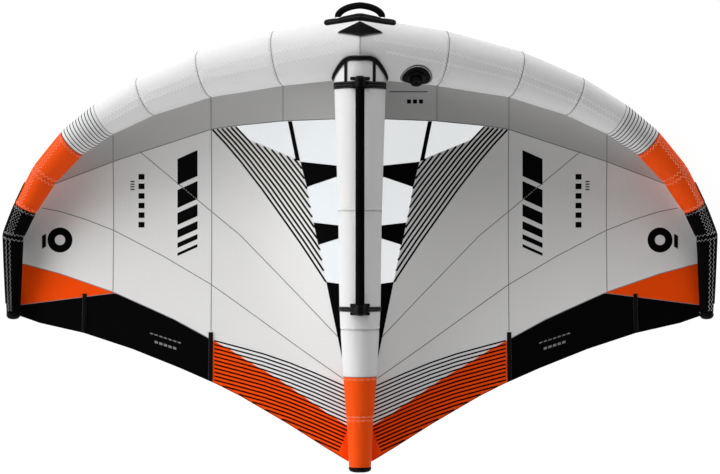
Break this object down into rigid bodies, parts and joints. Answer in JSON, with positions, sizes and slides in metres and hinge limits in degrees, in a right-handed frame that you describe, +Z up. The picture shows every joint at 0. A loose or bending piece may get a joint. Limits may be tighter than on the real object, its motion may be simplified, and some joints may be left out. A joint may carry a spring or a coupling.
{
  "type": "inflatable hand-held wing",
  "caption": "Inflatable hand-held wing with a tapered leading edge tube, centre strut, rigid boom, front handle, valve and windowed ripstop canopy.",
  "frame": {"origin": "centre of the bounding box's underside, on the ground that the wing rests on, strut side up", "axes": "+X along the span to the valve's side, +Y forward over the nose handle, +Z up; the wing is pitched nose down by 12.4 degrees, as it rests on its shoulders"},
  "size_m": [2.6346, 1.6246, 0.6586],
  "materials": {
    "dacron_white": "matt woven polyester",
    "dacron_orange": "matt woven polyester",
    "dacron_black": "matt woven polyester",
    "rubber_black": "matt",
    "bladder_film": "clear thin film",
    "hose_silicone": "satin",
    "clamp_plastic": "satin",
    "canopy_white": "coated ripstop",
    "canopy_black": "coated ripstop",
    "canopy_orange": "coated ripstop",
    "window_film": "clear film",
    "webbing_black": "woven webbing",
    "batten_glassfibre": "satin",
    "boom_aluminium": "black anodised",
    "grip_foam": "matt textured foam",
    "bracket_plastic": "moulded, fine texture",
    "screw_steel": "satin",
    "valve_rubber": "satin",
    "valve_plastic": "moulded",
    "valve_silicone": "satin"
  },
  "bodies": {
    "wing": {"le_casing_center": "dacron_white", "le_casing_orange_left": "dacron_orange", "le_casing_orange_right": "dacron_orange", "le_casing_tip_left": "dacron_black", "le_casing_tip_right": "dacron_black", "le_tip_cap_left": "rubber_black", "le_tip_cap_right": "rubber_black", "tip_guard_left": "rubber_black", "tip_guard_right": "rubber_black", "le_bladder": "bladder_film", "strut_casing": "dacron_white", "strut_tail_casing": "dacron_orange", "strut_end_cap": "rubber_black", "strut_bladder": "bladder_film", "one_pump_hose": "hose_silicone", "hose_clamps": "clamp_plastic", "canopy_center": "canopy_white", "canopy_front_left": "canopy_white", "canopy_front_right": "canopy_white", "window_left": "window_film", "window_right": "window_film", "window_braces_left": "canopy_black", "window_braces_right": "canopy_black", "canopy_main_left": "canopy_white", "canopy_main_right": "canopy_white", "te_orange_tip_left": "canopy_orange", "te_orange_tip_right": "canopy_orange", "te_black_left": "canopy_black", "te_black_right": "canopy_black", "te_orange_inner_left": "canopy_orange", "te_orange_inner_right": "canopy_orange", "batten_outer_left": "batten_glassfibre", "batten_outer_right": "batten_glassfibre", "batten_inner_left": "batten_glassfibre", "batten_inner_right": "batten_glassfibre", "batten_pocket_outer_left": "webbing_black", "batten_pocket_outer_right": "webbing_black", "batten_pocket_inner_left": "webbing_black", "batten_pocket_inner_right": "webbing_black", "strut_band_front": "webbing_black", "strut_band_rear": "webbing_black", "strut_yoke": "webbing_black", "strut_yoke_straps": "webbing_black", "handle_base": "webbing_black", "handle_pins": "clamp_plastic", "nose_patch": "webbing_black", "valve_patch": "valve_rubber", "valve_body": "valve_plastic", "valve_diaphragm": "valve_silicone", "valve_tether": "valve_rubber"},
    "front_handle": {"handle_grip": "grip_foam", "handle_webbing": "webbing_black"},
    "valve_cap": {"valve_cap": "valve_rubber"},
    "boom": {"boom_tube": "boom_aluminium", "boom_grip": "grip_foam", "boom_bracket_front": "bracket_plastic", "boom_bracket_rear": "bracket_plastic", "boom_screws": "screw_steel", "boom_end_plugs": "bracket_plastic"}
  },
  "joints": [
    {"name": "front_handle_hinge", "type": "hinge", "parent": "wing", "child": "front_handle", "pos_m": [0, 0.76318, 0.24117], "axis": [1, 0, 0], "range_deg": [-35, 28]},
    {"name": "valve_cap_hinge", "type": "hinge", "parent": "wing", "child": "valve_cap", "pos_m": [0.20561, 0.55979, 0.31685], "axis": [-0.9705, 0.1568, 0.1831], "range_deg": [0, 118]},
    {"name": "boom_lift", "type": "slide", "parent": "wing", "child": "boom", "axis": [0, 0.2147, 0.9767], "range_m": [0, 0.12]}
  ]
}
